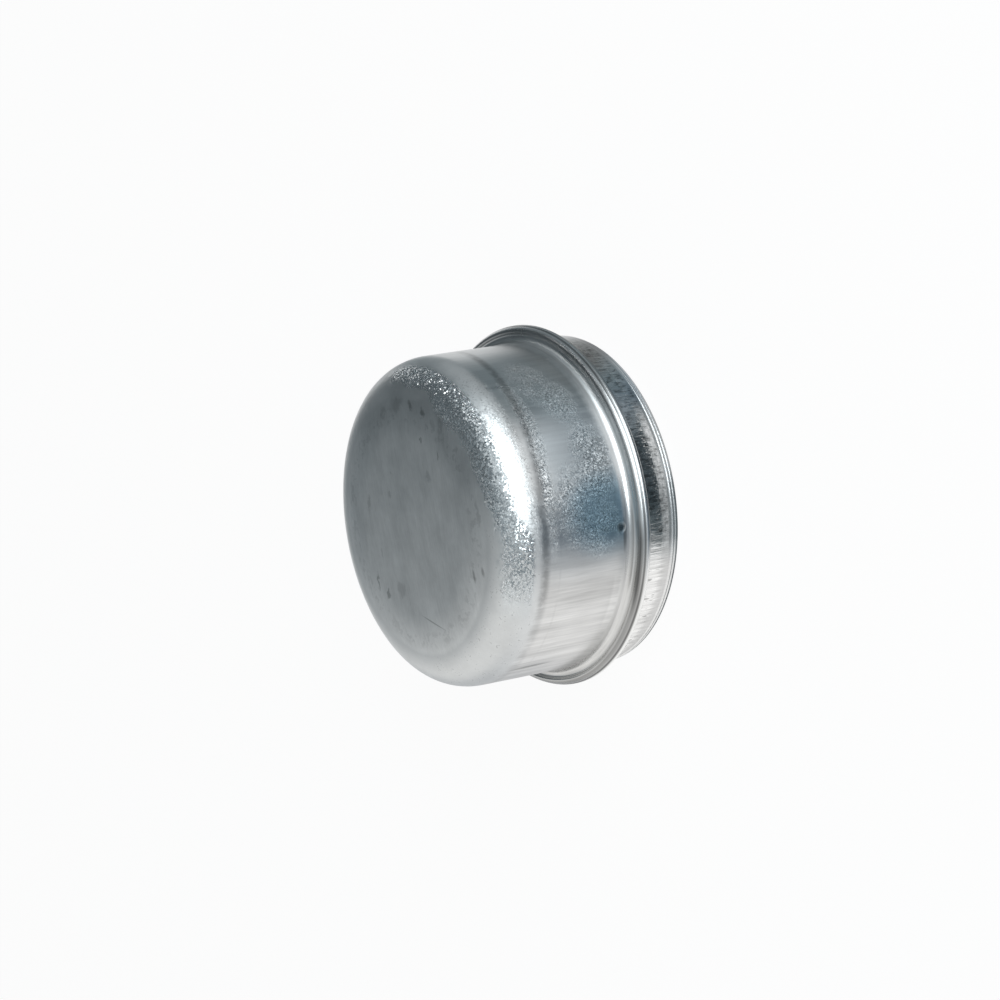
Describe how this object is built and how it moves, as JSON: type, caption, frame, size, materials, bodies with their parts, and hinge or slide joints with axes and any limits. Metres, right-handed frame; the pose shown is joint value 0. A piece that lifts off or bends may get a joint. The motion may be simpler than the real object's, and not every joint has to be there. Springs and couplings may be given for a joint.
{
  "type": "hub grease cap",
  "caption": "Round drawn steel grease cap: flat closed end with a rounded corner, a folded stop bead and a short press-in skirt that closes a wheel hub's bearing bore.",
  "frame": {"origin": "middle of the open rim, on the plane that the cap stands on", "axes": "+Z along the cap's axis, from the open rim towards the closed end; X and Y are free about it"},
  "size_m": [0.055, 0.055, 0.03],
  "materials": {
    "zinc_steel": "bright zinc over drawn steel, satin, with draw lines along the wall and a grainy corner"
  },
  "bodies": {
    "root": {"cap_shell": "zinc_steel"}
  },
  "joints": []
}
